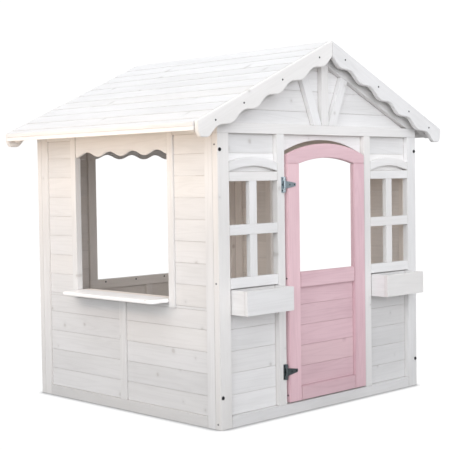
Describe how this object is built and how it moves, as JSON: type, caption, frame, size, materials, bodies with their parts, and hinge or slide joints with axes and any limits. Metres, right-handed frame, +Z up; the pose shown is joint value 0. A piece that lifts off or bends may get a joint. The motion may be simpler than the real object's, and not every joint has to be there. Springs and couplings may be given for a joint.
{
  "type": "timber playhouse",
  "caption": "Small timber play cottage with an arched hinged door, framed windows, planters, a serving shelf and a gable roof with wavy bargeboards.",
  "frame": {"origin": "bottom centre of the whole house's box, at ground level", "axes": "+X towards the right wall as seen from the front, +Y from the front wall with the door towards the rear wall, +Z up"},
  "size_m": [1.48, 1.2368, 1.4519],
  "materials": {
    "whitewashed_wood": "thin white stain over softwood, matt, grain and knots showing through",
    "pink_wood": "thin dusty pink stain over softwood, matt, streaky grain",
    "zinc_steel": "dull zinc-plated steel sheet",
    "dark_bolt": "blackened steel, satin"
  },
  "bodies": {
    "house": {"front_post_left": "whitewashed_wood", "front_jamb_left": "whitewashed_wood", "front_lower_boards_left": "whitewashed_wood", "front_upper_boards_left": "whitewashed_wood", "front_window_left": "whitewashed_wood", "front_arch_trim_left": "whitewashed_wood", "planter_left": "whitewashed_wood", "gable_batten_left": "whitewashed_wood", "left_wall_frame": "whitewashed_wood", "left_wall_boards": "whitewashed_wood", "left_valance": "whitewashed_wood", "roof_boards_left": "whitewashed_wood", "eave_batten_left": "whitewashed_wood", "roof_rafter_front_left": "whitewashed_wood", "roof_rafter_rear_left": "whitewashed_wood", "bargeboard_front_left": "whitewashed_wood", "bargeboard_rear_left": "whitewashed_wood", "corner_bolt_left_top": "dark_bolt", "corner_bolt_left_bottom": "dark_bolt", "front_post_right": "whitewashed_wood", "front_jamb_right": "whitewashed_wood", "front_lower_boards_right": "whitewashed_wood", "front_upper_boards_right": "whitewashed_wood", "front_window_right": "whitewashed_wood", "front_arch_trim_right": "whitewashed_wood", "planter_right": "whitewashed_wood", "gable_batten_right": "whitewashed_wood", "right_wall_frame": "whitewashed_wood", "right_wall_boards": "whitewashed_wood", "right_valance": "whitewashed_wood", "roof_boards_right": "whitewashed_wood", "eave_batten_right": "whitewashed_wood", "roof_rafter_front_right": "whitewashed_wood", "roof_rafter_rear_right": "whitewashed_wood", "bargeboard_front_right": "whitewashed_wood", "bargeboard_rear_right": "whitewashed_wood", "corner_bolt_right_top": "dark_bolt", "corner_bolt_right_bottom": "dark_bolt", "front_bottom_rail": "whitewashed_wood", "front_gable_frame": "whitewashed_wood", "front_gable_boards": "whitewashed_wood", "gable_batten_centre": "whitewashed_wood", "door_header": "whitewashed_wood", "left_shelf": "whitewashed_wood", "rear_wall_frame": "whitewashed_wood", "rear_wall_boards": "whitewashed_wood", "rear_valance": "whitewashed_wood", "rear_gable_frame": "whitewashed_wood", "rear_gable_boards": "whitewashed_wood", "hinge_upper_leaf": "zinc_steel", "hinge_lower_leaf": "zinc_steel"},
    "door": {"door_stile_left": "pink_wood", "door_stile_right": "pink_wood", "door_top_rail": "pink_wood", "door_mid_rail": "pink_wood", "door_bottom_rail": "pink_wood", "door_boards": "pink_wood", "hinge_upper_strap": "zinc_steel", "hinge_lower_strap": "zinc_steel"}
  },
  "joints": [
    {"name": "door_hinge", "type": "hinge", "parent": "house", "child": "door", "pos_m": [-0.251, -0.5435, 0.5295], "axis": [0, 0, -1], "range_deg": [0, 105]}
  ]
}
